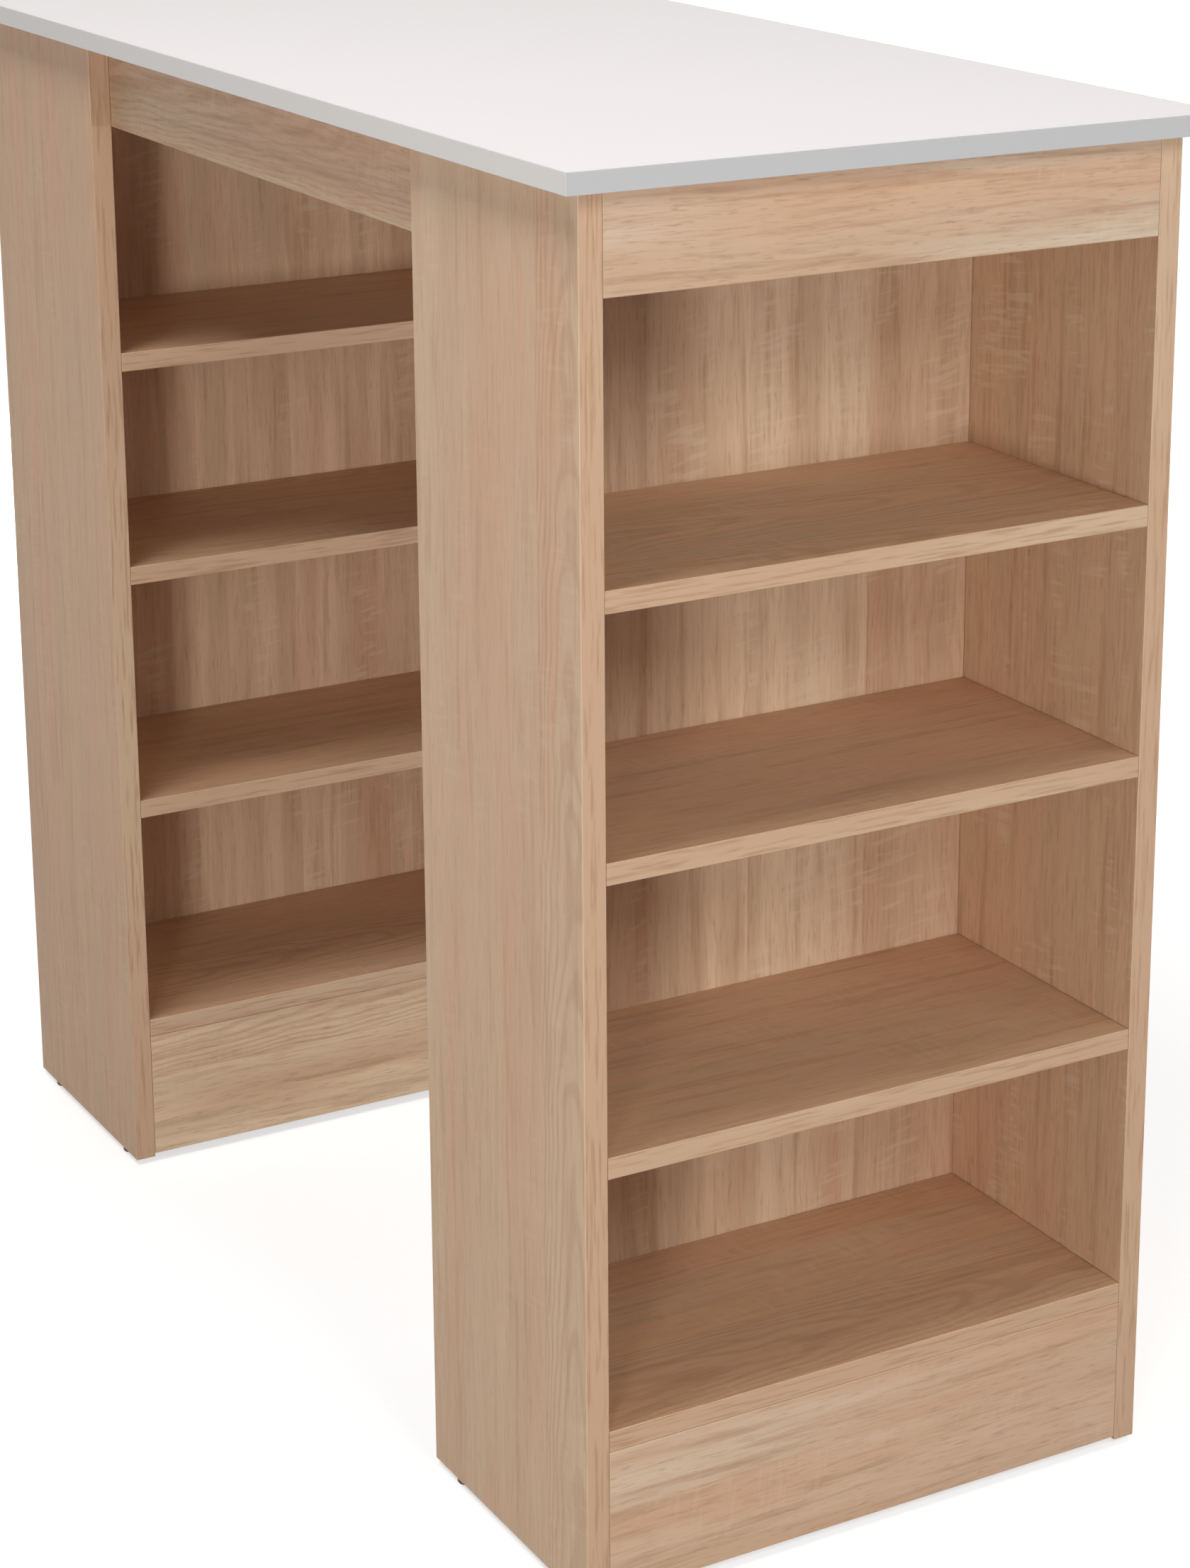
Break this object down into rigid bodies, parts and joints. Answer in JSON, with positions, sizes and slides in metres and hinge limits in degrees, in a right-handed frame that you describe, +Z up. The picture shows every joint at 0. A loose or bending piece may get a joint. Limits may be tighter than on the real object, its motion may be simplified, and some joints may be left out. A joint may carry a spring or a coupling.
{
  "type": "bar table",
  "caption": "High bar table: a white rectangular top on open oak-look shelf towers, joined by aprons above the knee space.",
  "frame": {"origin": "on the floor, under the middle of the top", "axes": "+X along the table, towards the end whose tower opens outwards; +Y to the rear long side; +Z up"},
  "size_m": [1.13, 0.52, 1.03],
  "materials": {
    "oak_board": "light oak melamine, fine vertical grain, satin",
    "white_board": "white melamine, satin",
    "white_edge": "white ABS edge band, satin",
    "top_block": "beige moulded nylon, matte",
    "glide": "dark brown moulded polyethylene, matte",
    "steel": "zinc-plated steel",
    "zinc": "die-cast zinc"
  },
  "bodies": {
    "root": {"right_tower_front_side": "oak_board", "right_tower_rear_side": "oak_board", "right_tower_back": "oak_board", "right_tower_top_rail": "oak_board", "right_tower_upper_shelf": "oak_board", "right_tower_middle_shelf": "oak_board", "right_tower_lower_shelf": "oak_board", "right_tower_bottom_shelf": "oak_board", "right_tower_plinth": "oak_board", "right_front_glide_back": "glide", "right_front_top_back_block": "top_block", "right_front_top_back_screw": "steel", "right_front_glide_opening": "glide", "right_front_top_opening_block": "top_block", "right_front_top_opening_screw": "steel", "right_rear_glide_back": "glide", "right_rear_top_back_block": "top_block", "right_rear_top_back_screw": "steel", "right_rear_glide_opening": "glide", "right_rear_top_opening_block": "top_block", "right_rear_top_opening_screw": "steel", "left_tower_front_side": "oak_board", "left_tower_rear_side": "oak_board", "left_tower_back": "oak_board", "left_tower_top_rail": "oak_board", "left_tower_upper_shelf": "oak_board", "left_tower_middle_shelf": "oak_board", "left_tower_lower_shelf": "oak_board", "left_tower_bottom_shelf": "oak_board", "left_tower_plinth": "oak_board", "left_front_glide_back": "glide", "left_front_top_back_block": "top_block", "left_front_top_back_screw": "steel", "left_front_glide_opening": "glide", "left_front_top_opening_block": "top_block", "left_front_top_opening_screw": "steel", "left_rear_glide_back": "glide", "left_rear_top_back_block": "top_block", "left_rear_top_back_screw": "steel", "left_rear_glide_opening": "glide", "left_rear_top_opening_block": "top_block", "left_rear_top_opening_screw": "steel", "front_apron": "oak_board", "front_apron_left_bolt": "steel", "front_apron_left_cam": "zinc", "front_apron_right_bolt": "steel", "front_apron_right_cam": "zinc", "rear_apron": "oak_board", "rear_apron_left_bolt": "steel", "rear_apron_left_cam": "zinc", "rear_apron_right_bolt": "steel", "rear_apron_right_cam": "zinc", "table_top": "white_board", "top_edge_band_left": "white_edge", "top_edge_band_right": "white_edge", "top_edge_band_front": "white_edge", "top_edge_band_rear": "white_edge"}
  },
  "joints": []
}
